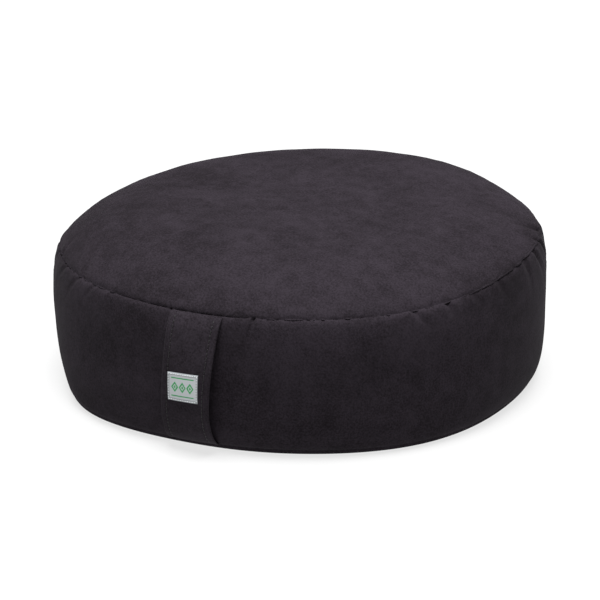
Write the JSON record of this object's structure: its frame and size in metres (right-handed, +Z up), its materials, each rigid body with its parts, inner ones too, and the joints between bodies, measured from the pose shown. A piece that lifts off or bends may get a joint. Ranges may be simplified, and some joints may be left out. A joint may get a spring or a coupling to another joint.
{
  "type": "zafu meditation cushion",
  "caption": "Round boxed meditation cushion in dark suede cloth, stuffed firm, with a crowned top, sewn top and bottom seams, a vertical carry strap and a small woven label.",
  "frame": {"origin": "middle of the object's footprint, on the surface that it rests on", "axes": "+Z up through the crown of the cushion, -Y towards the carry strap"},
  "size_m": [0.402, 0.4219, 0.1473],
  "materials": {
    "suede_cloth": "dark aubergine-charcoal micro-suede, matt with a soft nap",
    "strap_cloth": "the same micro-suede, folded and topstitched along both edges",
    "label_weave": "white damask label weave with a row of green lozenges between two lines"
  },
  "bodies": {
    "root": {"cushion": "suede_cloth", "carry_strap": "strap_cloth", "label": "label_weave"}
  },
  "joints": []
}
